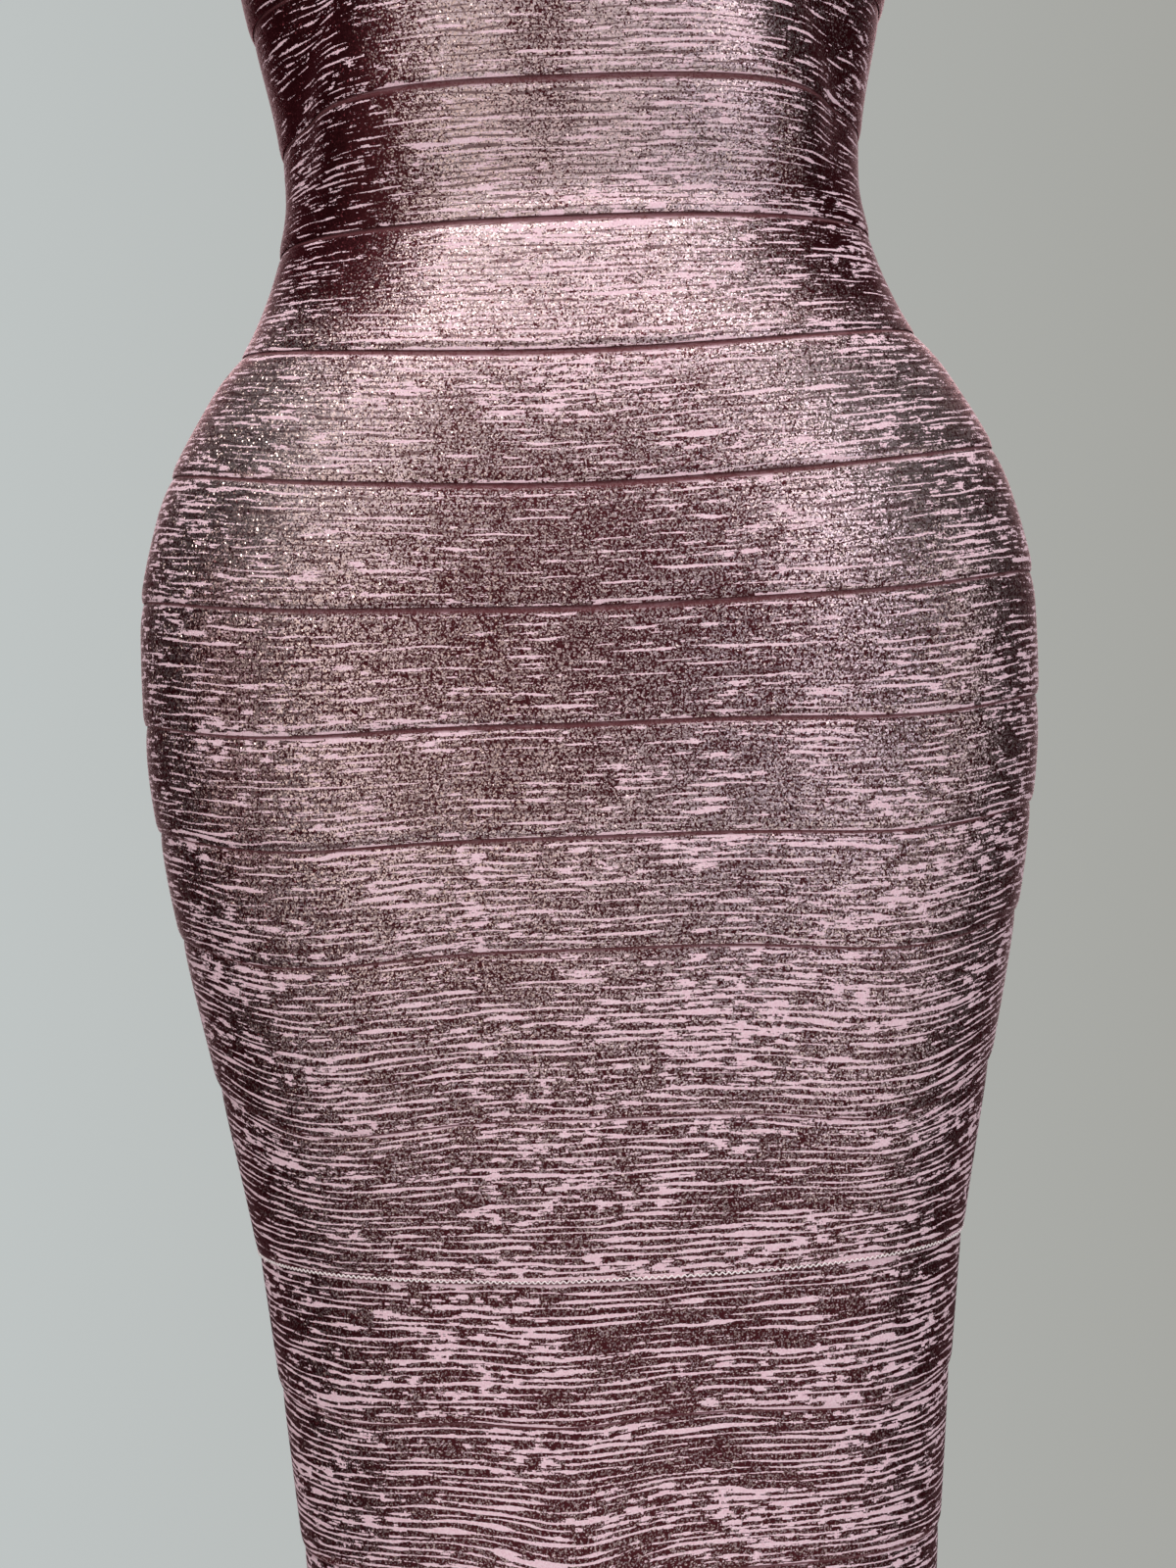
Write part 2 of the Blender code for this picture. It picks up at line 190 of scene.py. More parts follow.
@dataclass(frozen=True)
class WornForm:
    """The shape that the cloth takes when it is worn, as level sections joined smoothly."""

    aspect: float = 1.45  # width to depth of a typical section, which spreads the turns evenly round it
    roundness: float = 2.2  # exponent of the body's sections: 2 is an ellipse, more is squarer
    tent_roundness: float = 3.6  # the same of the stretched front panel over the ribs
    tent_blend: float = 0.006  # width of the soft crease behind that panel's corners
    trough_side: float = -0.020  # where the soft hollow between the legs lies
    trough_width: float = 0.030
    droop_width: float = 0.030
    corner_spread: int = 4  # exponent that keeps a seam's rise to the front's corners
    sag_heights: tuple[float, ...] = (-1.10, -0.98, -0.90)
    sag_depths: tuple[float, ...] = (0.002, 0.007, 0.0)
    step: float = 1e-4  # for working out which way the cloth faces

    def inside(self, turn: np.ndarray, z: np.ndarray) -> np.ndarray:
        """Find points on the inside of the cloth.

        Args:
            turn: Angles in radians, from the middle front towards +X.
            z: Heights, one for each angle.

        Returns:
            The points, with X, Y and Z last.
        """
        side, ahead = self.aspect * np.sin(turn), np.cos(turn)
        length = np.hypot(side, ahead)
        side, ahead = side / length, ahead / length
        size = {column: smooth_column(SECTIONS, column, z) for column in Section._fields[1:]}
        depth = np.where(ahead > 0, size["front_depth"], size["back_depth"])
        torso = self.reach(side / size["half_width"], ahead / depth, self.roundness)
        tent = self.reach(side / size["tent_half_width"], ahead / size["tent_depth"], self.tent_roundness)
        tent = np.where(ahead > 0, tent, 0.0)
        share = np.clip(0.5 + (tent - torso) / (2 * self.tent_blend), 0, 1)
        radius = torso + (tent - torso) * share + self.tent_blend * share * (1 - share)
        hollow = np.exp(-(((radius * side - self.trough_side) / self.trough_width) ** 2))
        radius = radius - size["trough"] * hollow * np.clip(ahead, 0, 1)
        return np.stack([radius * side, -radius * ahead, z + 0 * radius], axis=-1)

    @staticmethod
    def reach(side: np.ndarray, ahead: np.ndarray, roundness: float) -> np.ndarray:
        """Give how far a squared ellipse reaches in a direction that is measured in its half sizes."""
        return (np.abs(side) ** roundness + np.abs(ahead) ** roundness) ** (-1 / roundness)

    def outward(self, turn: np.ndarray, z: np.ndarray) -> np.ndarray:
        """Find which way the cloth faces.

        Args:
            turn: Angles in radians.
            z: Heights, one for each angle.

        Returns:
            Directions of length 1, square to the cloth and facing out.
        """
        round_it = self.inside(turn + self.step, z) - self.inside(turn - self.step, z)
        up_it = self.inside(turn, z + self.step) - self.inside(turn, z - self.step)
        normal = np.cross(round_it, up_it)
        return normal / np.linalg.norm(normal, axis=-1, keepdims=True)

    def course_sag(self, points: np.ndarray) -> np.ndarray:
        """Work out how much more than the seams the knit's courses sag over the hollow between the legs.

        Args:
            points: Places on the cloth.

        Returns:
            The extra sag at each place, in metres.
        """
        off_middle = (points[..., 0] - self.trough_side) / self.droop_width
        depth = np.interp(points[..., 2], self.sag_heights, self.sag_depths)
        return np.where(points[..., 1] < 0, depth * np.exp(-(off_middle**2)), 0.0)

    def seam_height(self, seam: Seam, turn: np.ndarray) -> np.ndarray:
        """Work out a seam's height round the dress.

        Args:
            seam: A row of the table of seams.
            turn: Angles in radians.

        Returns:
            The height at each angle.
        """
        sine, cosine = np.sin(turn), np.cos(turn)
        half_width = smooth_column(SECTIONS, "half_width", np.array(seam.height))
        off_middle = (half_width * sine - self.trough_side) / self.droop_width
        sag = seam.droop * np.exp(-(off_middle**2)) * cosine**2
        front = seam.corner_rise * np.sin(2 * turn) ** self.corner_spread - sag
        back = seam.back_rise * cosine**2
        return seam.height + seam.side_rise * sine**2 + np.where(cosine < 0, back, front)


# ---------------------------------------------------------------- finishes


def linear(code: str, alpha: float = 1.0) -> tuple[float, float, float, float]:
    """Turn an sRGB hex colour into linear light.

    Args:
        code: Six hex digits.
        alpha: The fourth value.

    Returns:
        Red, green, blue and alpha.
    """
    parts = (int(code[i : i + 2], 16) / 255 for i in (0, 2, 4))
    red, green, blue = (c / 12.92 if c <= 0.04045 else ((c + 0.055) / 1.055) ** 2.4 for c in parts)
    return red, green, blue, alpha


def add_node(tree: Tree, kind: str, inputs: dict | None = None, **settings: object) -> bpy.types.Node:
    """Add a node with its settings and links.

    Args:
        tree: The tree that gets the node.
        kind: The node's type name, after its "ShaderNode".
        inputs: A value or an output socket for each input, by name or index.
        **settings: The node's own properties.

    Returns:
        The new node.
    """
    node = tree.nodes.new(f"ShaderNode{kind}")
    for name, value in settings.items():
        setattr(node, name, value)
    for socket, value in (inputs or {}).items():
        if isinstance(value, bpy.types.NodeSocket):
            tree.links.new(value, node.inputs[socket])
        else:
            node.inputs[socket].default_value = value
    return node


def new_finish(name: str) -> tuple[bpy.types.Material, Tree, bpy.types.Node]:
    """Start a material.

    Args:
        name: The material's name.

    Returns:
        The material, its node tree and its shader.
    """
    material = bpy.data.materials.new(name)
    material.use_nodes = True
    tree = material.node_tree
    return material, tree, tree.nodes["Principled BSDF"]


class LightAndWearSpot(NamedTuple):
    """A soft spot of painted light and shade on the foil, by more or fewer dull facets, and of more or less
    wear.
    """

    side: float
    depth: float  # along Y: front is negative
    height: float
    half_width: float
    half_height: float
    dull_and_shaded: float  # change in the share of dull, dark facets: over 0 it paints shade and dark reflection, below 0 light
    bare: float  # change in how readily the foil lets go of the yarn


LIGHT_AND_WEAR_SPOTS = (
    LightAndWearSpot(-0.035, -0.085, -0.385, 0.050, 0.085, -0.26, -0.15),  # painted highlight on the stretched front panel, where it shines
    LightAndWearSpot(0.045, -0.085, -0.385, 0.050, 0.085, -0.18, 0.10),
    LightAndWearSpot(-0.009, -0.085, -0.345, 0.016, 0.075, 0.30, -0.30),  # painted dark reflection in a strip down its middle, with fewer let-go lines
    LightAndWearSpot(-0.090, -0.060, -0.385, 0.040, 0.085, 0.82, -0.14),  # painted shade and dark reflection at its corners
    LightAndWearSpot(0.108, -0.060, -0.385, 0.040, 0.085, 0.47, -0.06),
    LightAndWearSpot(0.094, -0.060, -0.440, 0.036, 0.036, 0.24, 0.00),
    LightAndWearSpot(0.000, -0.085, -0.450, 0.100, 0.030, -0.04, 0.00),  # painted light below the waist
    LightAndWearSpot(0.000, -0.085, -0.570, 0.110, 0.075, 0.22, -0.28),  # painted dark reflection under the belly, with fewer let-go lines
    LightAndWearSpot(-0.110, -0.060, -0.510, 0.060, 0.060, -0.25, -0.15),  # painted highlights over the hips
    LightAndWearSpot(0.110, -0.060, -0.510, 0.060, 0.070, -0.22, 0.00),
    LightAndWearSpot(0.100, -0.060, -0.700, 0.080, 0.100, -0.02, 0.10),
    LightAndWearSpot(0.000, -0.095, -0.721, 0.110, 0.017, 0.00, 0.24),  # rubbed through at the thighs
    LightAndWearSpot(0.020, -0.095, -0.803, 0.085, 0.014, 0.00, 0.24),
    LightAndWearSpot(-0.022, -0.090, -0.868, 0.030, 0.028, 0.00, 0.35),
    LightAndWearSpot(-0.158, -0.020, -0.700, 0.045, 0.240, 0.27, 0.10),  # painted dark reflection round the sides, with a little more wear
    LightAndWearSpot(0.158, -0.020, -0.700, 0.045, 0.240, 0.17, 0.05),
    LightAndWearSpot(-0.136, -0.030, -0.320, 0.026, 0.100, 0.45, -0.75),  # painted shade in the creases behind the panel's corners: duller foil and fewer let-go lines
    LightAndWearSpot(0.138, -0.030, -0.320, 0.022, 0.100, 0.00, -0.25),
)


class Mottle(NamedTuple):
    """Soft patches that are stretched along the courses, by their size in mm."""

    along: float
    across: float
    detail: float = 2.0  # how many finer layers they have
    stepped: bool = False  # whether their edges follow the stitches


MOTTLES = {
    "wander": Mottle(40.0, 6.0),  # moves the let-go lines up and down
    "uneven": Mottle(26.0, 2.6, 1.0),  # brings some together and others apart
    "presence": Mottle(27.0, 3.4, 1.0),  # breaks them off
    "ragged": Mottle(1.2, 0.6, 1.0),  # frays them
    "runs": Mottle(12.5, 1.05),  # brushed streaks
    "patches": Mottle(6.5, 2.3, stepped=True),  # blocky patches a few stitches wide
    "regions": Mottle(60.0, 24.0),  # larger places that are rubbed more
    "shadowed_crack_breaks": Mottle(9.0, 2.4),  # breaks up the cracks along the courses that are painted dark as shadow
}

BY_HEIGHT = {  # each number on the upper dress, and on the lower skirt
    "line_weight": (0.30, 0.55),  # of the let-go lines where the foil is rubbed
    "brush_weight": (1.0, 0.62),
    "clump_weight": (5.2, 9.5),
    "bright_lot": (0.29, 0.26),  # a facet below this lot is bright
    "dull_lot": (0.71, 0.78),  # and above this one fully dull
}


class SeamRub(NamedTuple):
    """A strip beside an open seam where the foil lets go more easily."""

    beside: str  # the pattern that gives the distance from the seam, in mm
    start: float  # how far from the seam it starts to fade, in mm
    end: float
    amount: float


SEAM_RUBS = {
    "lip": SeamRub("over_lower", 0.5, 1.6, 0.65),
    "shelf": SeamRub("under_upper", 3.0, 5.5, 0.35),
}


class Total(NamedTuple):
    """Patterns that are added up, each by its weight."""

    weights: dict[str, float]
    start: float = 0.0

    def socket(self, tree: Tree, patterns: Sockets) -> Socket:
        """Add up the patterns.

        Args:
            tree: The tree that gets the nodes.
            patterns: The patterns by name.

        Returns:
            The total.
        """
        total: Socket | float = self.start
        for name, weight in self.weights.items():
            inputs = {0: patterns[name], 1: weight, 2: total}
            total = add_node(tree, "Math", inputs, operation="MULTIPLY_ADD").outputs[0]
        return total


@dataclass(frozen=True)
class FoiledKnit:
    """Bandage knit of rayon and elastane, printed with rose foil that is rubbed into streaks.

    To the eye the foil is a crazed metal skin where it holds: its small facets lean every way, so that they
    sparkle, and many have worn dull and dark. Where it has let go, the matt pink yarn shows in thin lines
    with ragged ends and in wider patches. Some of the dark is painted shade and reflection, in thin lines
    along the courses, towards the hem, in soft spots and on the bare yarn under each seam's lip; other soft
    spots are painted highlights, and the yarn's small hollows are painted shade.
    """

    yarn: str = "F8DAE2"
    yarn_shaded_between: str = "EAC0CC"  # painted shade of the yarn in the small hollows between stitches, scattered facet by facet
    painted_seam_shade: str = "6A3A3E"  # bare yarn deep in a seam, painted dark as the shade under the band above
    foil: str = "E6CCD4"
    foil_warm: str = "E4C8C0"
    foil_worn_and_shaded: str = "4C2226"  # foil that has cracked and gone dull, and the same dark colour where shade and dark reflection are painted
    foil_edge: str = "DCB6BA"  # foil seen at a glancing angle
    roughness: float = 0.18
    dull_roughness: float = 0.40
    yarn_roughness: float = 0.80
    facet: float = 0.55  # mm across a crazed facet; real ones are finer, and this is as coarse as shows
    facet_tilt: float = 0.26  # how far an ordinary facet leans
    glint_tilt: float = 1.3  # how far a loose flake leans
    loose_lots: tuple[float, float] = (0.92, 0.95)  # from the last ordinary facet to the first loose flake
    stitch: float = 0.9  # mm to a stitch
    mottle_roughness: float = 0.55  # strength of a mottle's finer layers
    line_pitch: float = 2.7  # mm between the let-go lines
    skirt_top: float = -0.64  # height at which the print starts to change towards the lower skirt's
    skirt_low: float = -0.84
    spot_depth: float = 0.080  # how far a worn spot reaches from front to back
    spot_fade: tuple[float, float] = (0.5, 1.3)  # shares of its half size between which a spot fades
    line_place: Total = Total({"across": 1.0, "wander": 5.0, "uneven": 2.6})  # mm across the courses
    # The foil lets go of the yarn where either thin_lines or rubbed is over 0
    thin_lines: Total = Total(
        {"lines": 1.0, "presence": 3.4, "runs": 2.2, "ragged": 1.4, "low": 0.36, "wear_and_shade_spots": 0.6}, -4.57
    )
    thin_blur: float = 0.06  # half the total over which a thin line fades in
    brushed: Total = Total({"runs": 4.2, "ragged": 2.2}, -3.2)
    rubbed: Total = Total(
        {"firm_lines": 1.0, "loose_brush": 1.0, "clumps": 1.0, "regions": 1.9, "wear_and_shade_spots": 1.0}
        | {"lip": 1.0, "shelf": 1.0},
        -1.72,
    )
    rubbed_blur: float = 0.04
    clump_regions: tuple[float, float] = (0.42, 0.60)  # regions from the least clumped to the most
    least_clumped: float = 3.4
    middle: float = 0.5  # of a pattern that runs from 0 to 1
    shade_start: Total = Total({"open": 1.7})  # mm under a seam at which its shade starts to fade
    shade_end: Total = Total({"open": 2.4}, 0.5)
    shade_depth: float = 0.9
    # It is dull where the cracks along the courses, painted dark as shadow, are past their range, and where
    # the wear, with the painted light and shade of the spots and towards the hem, is past the facets' lots in
    # BY_HEIGHT
    shadowed_cracks: Total = Total({"lines": -1.0, "shadowed_crack_breaks": 1.6}, -0.8)
    shadowed_crack_range: tuple[float, float] = (0.74, 0.92)
    shadowed_crack_depth: float = 0.75
    # painted dark reflection: the weight on low makes the foil duller and darker towards the hem
    worn_and_shaded: Total = Total({"lot": 1.0, "low": 0.41, "painted_light_and_shade_spots": 1.0})

    def material(self) -> bpy.types.Material:
        """Make the material.

        Returns:
            The material.
        """
        material, tree, shader = new_finish("foil_printed_knit")
        patterns = self._patterns(tree)
        facet = {"Vector": patterns["knit"], "Scale": 1 / self.facet}
        facet = add_node(tree, "TexVoronoi", facet).outputs["Color"]
        lot = add_node(tree, "SeparateColor", {0: facet}).outputs
        patterns["lot"] = lot[1]
        bare = self._bare_yarn(tree, patterns)
        # painted shade on the bare yarn under each seam's lip
        seam_shade_share = self._painted_seam_shade(tree, patterns)
        dull_and_shaded = self._dull_and_shaded_foil(tree, patterns)
        yarn = {0: lot[1], 6: linear(self.yarn), 7: linear(self.yarn_shaded_between)}
        yarn = add_node(tree, "Mix", yarn, data_type="RGBA").outputs[2]
        worn_and_shaded_foil = ((lot[0], linear(self.foil_warm)), (dull_and_shaded, linear(self.foil_worn_and_shaded)))
        colour = linear(self.foil)
        for share, over in (*worn_and_shaded_foil, (bare, yarn), (seam_shade_share, linear(self.painted_seam_shade))):
            layer = {0: share, 6: colour, 7: over}
            colour = add_node(tree, "Mix", layer, data_type="RGBA").outputs[2]
        cover = add_node(tree, "Math", {0: bare, 1: seam_shade_share}, operation="MAXIMUM").outputs[0]
        metal = add_node(tree, "Math", {0: 1.0, 1: cover}, operation="SUBTRACT").outputs[0]
        rough = self.roughness
        for share, rougher in ((dull_and_shaded, self.dull_roughness), (cover, self.yarn_roughness)):
            rough = {"Value": share, "To Min": rough, "To Max": rougher}
            rough = add_node(tree, "MapRange", rough).outputs[0]
        tree.links.new(colour, shader.inputs["Base Color"])
        tree.links.new(metal, shader.inputs["Metallic"])
        tree.links.new(rough, shader.inputs["Roughness"])
        tree.links.new(self._facets(tree, facet, lot[0], metal), shader.inputs["Normal"])
        shader.inputs["Specular Tint"].default_value = linear(self.foil_edge)
        return material

    def _patterns(self, tree: Tree) -> Sockets:
        """Lay out the patterns that the print and its wear are made of.

        Args:
            tree: The tree that gets the nodes.

        Returns:
            The patterns by name.
        """
        knit = add_node(tree, "Attribute", attribute_name="knit_mm").outputs["Vector"]
        edge = add_node(tree, "Attribute", attribute_name="edge_mm").outputs["Vector"]
        place = add_node(tree, "TexCoord").outputs["Object"]
        across = add_node(tree, "SeparateXYZ", {0: knit}).outputs[2]
        height = add_node(tree, "SeparateXYZ", {0: place}).outputs[2]
        low = {"Value": height, "From Min": self.skirt_top, "From Max": self.skirt_low}
        low = add_node(tree, "MapRange", low).outputs[0]
        patterns = {"knit": knit, "across": across, "low": low}
        beside = add_node(tree, "SeparateXYZ", {0: edge}).outputs
        patterns.update(zip(("under_upper", "over_lower", "open"), beside))
        for name, (above, below) in BY_HEIGHT.items():
            number = {"Value": low, "To Min": above, "To Max": below}
            patterns[name] = add_node(tree, "MapRange", number).outputs[0]
        grid = (self.stitch, self.stitch, self.stitch)
        stepped = add_node(tree, "VectorMath", {0: knit, 1: grid}, operation="SNAP").outputs[0]
        for name, mottle in MOTTLES.items():
            scale = (1 / mottle.along, 1 / mottle.along, 1 / mottle.across)
            spread = {0: stepped if mottle.stepped else knit, 1: scale}
            spread = add_node(tree, "VectorMath", spread, operation="MULTIPLY").outputs[0]
            noise = {"Vector": spread, "Scale": 1.0, "Detail": mottle.detail}
            noise |= {"Roughness": self.mottle_roughness}
            patterns[name] = add_node(tree, "TexNoise", noise).outputs[0]
        turn = {0: self.line_place.socket(tree, patterns), 1: math.tau / self.line_pitch}
        turn = add_node(tree, "Math", turn, operation="MULTIPLY").outputs[0]
        patterns["lines"] = add_node(tree, "Math", {0: turn}, operation="SINE").outputs[0]
        patterns["painted_light_and_shade_spots"], patterns["wear_and_shade_spots"] = self._light_and_wear_spots(tree, place)
        return patterns

    def _light_and_wear_spots(self, tree: Tree, place: Socket) -> tuple[Socket, Socket]:
        """Add up what the spots of painted light and shade and of wear change.

        Args:
            tree: The tree that gets the nodes.
            place: The place in metres.

        Returns:
            The changes in how dull and dark the foil is, which paint light and shade, and in how readily it
            lets go.
        """
        totals: list[Socket | float] = [0.0, 0.0]
        for spot in LIGHT_AND_WEAR_SPOTS:
            middle = (spot.side, spot.depth, spot.height)
            reach = (1 / spot.half_width, 1 / self.spot_depth, 1 / spot.half_height)
            off = add_node(tree, "VectorMath", {0: place, 1: middle}, operation="SUBTRACT").outputs[0]
            off = add_node(tree, "VectorMath", {0: off, 1: reach}, operation="MULTIPLY").outputs[0]
            away = add_node(tree, "VectorMath", {0: off}, operation="LENGTH").outputs["Value"]
            start, end = self.spot_fade
            near = {"Value": away, "From Min": start, "From Max": end, "To Min": 1.0, "To Max": 0.0}
            near = add_node(tree, "MapRange", near).outputs[0]
            for i, change in enumerate((spot.dull_and_shaded, spot.bare)):
                inputs = {0: near, 1: change, 2: totals[i]}
                totals[i] = add_node(tree, "Math", inputs, operation="MULTIPLY_ADD").outputs[0]
        return totals[0], totals[1]

    def _bare_yarn(self, tree: Tree, patterns: Sockets) -> Socket:
        """Find where the foil has let go of the yarn.

        Args:
            tree: The tree that gets the nodes.
            patterns: The patterns by name.

        Returns:
            1 where the yarn shows, and 0 where the foil holds.
        """
        thin = self.thin_lines.socket(tree, patterns)
        least, most = self.clump_regions
        clump = {"Value": patterns["regions"], "From Min": least, "From Max": most}
        clump |= {"To Min": self.least_clumped, "To Max": patterns["clump_weight"]}
        clump = add_node(tree, "MapRange", clump).outputs[0]
        patch = {0: patterns["patches"], 1: self.middle}
        patch = add_node(tree, "Math", patch, operation="SUBTRACT").outputs[0]
        weighted = {
            "firm_lines": (patterns["lines"], patterns["line_weight"]),
            "loose_brush": (self.brushed.socket(tree, patterns), patterns["brush_weight"]),
            "clumps": (patch, clump),
        }
        parts = dict(patterns)
        for name, (pattern, weight) in weighted.items():
            parts[name] = add_node(tree, "Math", {0: pattern, 1: weight}, operation="MULTIPLY").outputs[0]
        for name, rub in SEAM_RUBS.items():
            amount = {0: patterns["open"], 1: rub.amount}
            amount = add_node(tree, "Math", amount, operation="MULTIPLY").outputs[0]
            strip = {"Value": patterns[rub.beside], "From Min": rub.start, "From Max": rub.end}
            strip |= {"To Min": amount, "To Max": 0.0}
            parts[name] = add_node(tree, "MapRange", strip).outputs[0]
        shown = []
        for total, blur in ((thin, self.thin_blur), (self.rubbed.socket(tree, parts), self.rubbed_blur)):
            share = {"Value": total, "From Min": -blur, "From Max": blur}
            shown.append(add_node(tree, "MapRange", share).outputs[0])
        return add_node(tree, "Math", {0: shown[1], 1: shown[0]}, operation="MAXIMUM").outputs[0]

    def _painted_seam_shade(self, tree: Tree, patterns: Sockets) -> Socket:
        """Find the bare yarn under the edge of the band above, which is painted dark as shade.

        Args:
            tree: The tree that gets the nodes.
            patterns: The patterns by name.

        Returns:
            Nearly 1 right under the edge, falling to 0 a little way down.
        """
        shade = {"Value": patterns["under_upper"], "To Min": self.shade_depth, "To Max": 0.0}
        shade |= {"From Min": self.shade_start.socket(tree, patterns)}
        shade |= {"From Max": self.shade_end.socket(tree, patterns)}
        return add_node(tree, "MapRange", shade).outputs[0]

    def _dull_and_shaded_foil(self, tree: Tree, patterns: Sockets) -> Socket:
        """Find where the foil is dull: cracked along a course and painted dark there as shadow, worn dull
        facet by facet, and painted duller or brighter in spots and towards the hem as light and shade.

        Args:
            tree: The tree that gets the nodes.
            patterns: The patterns by name.

        Returns:
            1 where the foil is fully dull, and 0 where it is bright.
        """
        start, end = self.shadowed_crack_range
        shadowed_crack = {"Value": self.shadowed_cracks.socket(tree, patterns), "From Min": start, "From Max": end}
        shadowed_crack = add_node(tree, "MapRange", shadowed_crack | {"To Max": self.shadowed_crack_depth}).outputs[0]
        dull_and_shaded = {"Value": self.worn_and_shaded.socket(tree, patterns)}
        dull_and_shaded |= {"From Min": patterns["bright_lot"], "From Max": patterns["dull_lot"]}
        dull_and_shaded = add_node(tree, "MapRange", dull_and_shaded).outputs[0]
        return add_node(tree, "Math", {0: shadowed_crack, 1: dull_and_shaded}, operation="MAXIMUM").outputs[0]

    def _facets(self, tree: Tree, facet: Socket, lot: Socket, metal: Socket) -> Socket:
        """Tilt the surface facet by facet where there is foil.

        Args:
            tree: The tree that gets the nodes.
            facet: A colour drawn by lot for each facet.
            lot: A number drawn by lot for each facet.
            metal: 1 where there is foil.

        Returns:
            The shading normal.
        """
        last, first = self.loose_lots
        tilt = {"Value": lot, "From Min": last, "From Max": first}
        tilt |= {"To Min": self.facet_tilt, "To Max": self.glint_tilt}
        tilt = add_node(tree, "MapRange", tilt).outputs[0]
        amount = add_node(tree, "Math", {0: metal, 1: tilt}, operation="MULTIPLY").outputs[0]
        lean = {0: facet, 1: (self.middle,) * 3}
        lean = add_node(tree, "VectorMath", lean, operation="SUBTRACT").outputs[0]
        lean = add_node(tree, "VectorMath", {0: lean, "Scale": amount}, operation="SCALE").outputs[0]
        facing = add_node(tree, "NewGeometry").outputs["Normal"]
        tilted = add_node(tree, "VectorMath", {0: facing, 1: lean}, operation="ADD").outputs[0]
        return add_node(tree, "VectorMath", {0: tilted}, operation="NORMALIZE").outputs[0]


@dataclass(frozen=True)
class KnitBack:
    """The unprinted wrong side of the same knit: matt pink yarn, knitted in fine courses.

    To the eye it is a plain dusky pink with faint level ribs and no shine.
    """

    yarn: str = "D39AA8"
    # painted shade of the yarn in the hollows between courses
    yarn_shaded_between: str = "A96C7C"
    course_pitch: float = 1.27  # mm between knit courses
    relief: float = 0.2 * MM
    relief_strength: float = 0.5
    roughness: float = 0.85

    def material(self) -> bpy.types.Material:
        """Make the material.

        Returns:
            The material.
        """
        material, tree, shader = new_finish("unprinted_knit_back")
        knit = add_node(tree, "Attribute", attribute_name="knit_mm").outputs["Vector"]
        across = add_node(tree, "SeparateXYZ", {0: knit}).outputs[2]
        turn = {0: across, 1: math.tau / self.course_pitch}
        turn = add_node(tree, "Math", turn, operation="MULTIPLY").outputs[0]
        course = add_node(tree, "Math", {0: turn}, operation="SINE").outputs[0]
        share = {"Value": course, "From Min": -1.0, "From Max": 1.0}
        share = add_node(tree, "MapRange", share).outputs[0]
        # painted shade: darker yarn where the bump has its hollows
        colour = {0: share, 6: linear(self.yarn_shaded_between), 7: linear(self.yarn)}
        colour = add_node(tree, "Mix", colour, data_type="RGBA").outputs[2]
        bump = {"Height": share, "Strength": self.relief_strength, "Distance": self.relief}
        bump = add_node(tree, "Bump", bump).outputs[0]
        tree.links.new(colour, shader.inputs["Base Color"])
        tree.links.new(bump, shader.inputs["Normal"])
        shader.inputs["Roughness"].default_value = self.roughness
        return material


@dataclass(frozen=True)
class StitchThread:
    """Polyester sewing thread, twisted from fine plies.

    To the eye it is nearly white, with a silky shine that its plies break up.
    """

    thread: str = "FFF6F4"
    # painted shade of the thread in the hollows between its plies
    shaded_between: str = "F0D4D8"
    twist_pitch: float = 0.5  # mm
    ply_range: tuple[float, float] = (0.35, 0.6)  # noise from the hollow between two plies to their crown
    relief: float = 0.05 * MM
    relief_strength: float = 0.4
    roughness: float = 0.28

    def material(self) -> bpy.types.Material:
        """Make the material.

        Returns:
            The material.
        """
        material, tree, shader = new_finish("twisted_sewing_thread")
        place = add_node(tree, "TexCoord").outputs["Object"]
        plies = {"Vector": place, "Scale": 1 / (self.twist_pitch * MM), "Detail": 1.0}
        plies = add_node(tree, "TexNoise", plies).outputs[0]
        hollow, crown = self.ply_range
        share = {"Value": plies, "From Min": hollow, "From Max": crown}
        share = add_node(tree, "MapRange", share).outputs[0]
        # painted shade: darker thread where the bump has its hollows
        colour = {0: share, 6: linear(self.shaded_between), 7: linear(self.thread)}
        colour = add_node(tree, "Mix", colour, data_type="RGBA").outputs[2]
        bump = {"Height": share, "Strength": self.relief_strength, "Distance": self.relief}
        bump = add_node(tree, "Bump", bump).outputs[0]
        tree.links.new(colour, shader.inputs["Base Color"])
        tree.links.new(bump, shader.inputs["Normal"])
        shader.inputs["Roughness"].default_value = self.roughness
        return material


@dataclass(frozen=True)
class PaintedFloor:
    """A floor rolled with matt emulsion paint, which gives the eye an even pale grey with no shine."""

    paint: str = "D2D4D2"
    roughness: float = 0.7

    def material(self) -> bpy.types.Material:
        """Make the material.

        Returns:
            The material.
        """
        material, _, shader = new_finish("matt_painted_floor")
        shader.inputs["Base Color"].default_value = linear(self.paint)
        shader.inputs["Roughness"].default_value = self.roughness
        return material


@dataclass(frozen=True)
class Finishes:
    """The dress's materials."""

    foiled: bpy.types.Material
    back: bpy.types.Material
    thread: bpy.types.Material


# ---------------------------------------------------------------- cloth


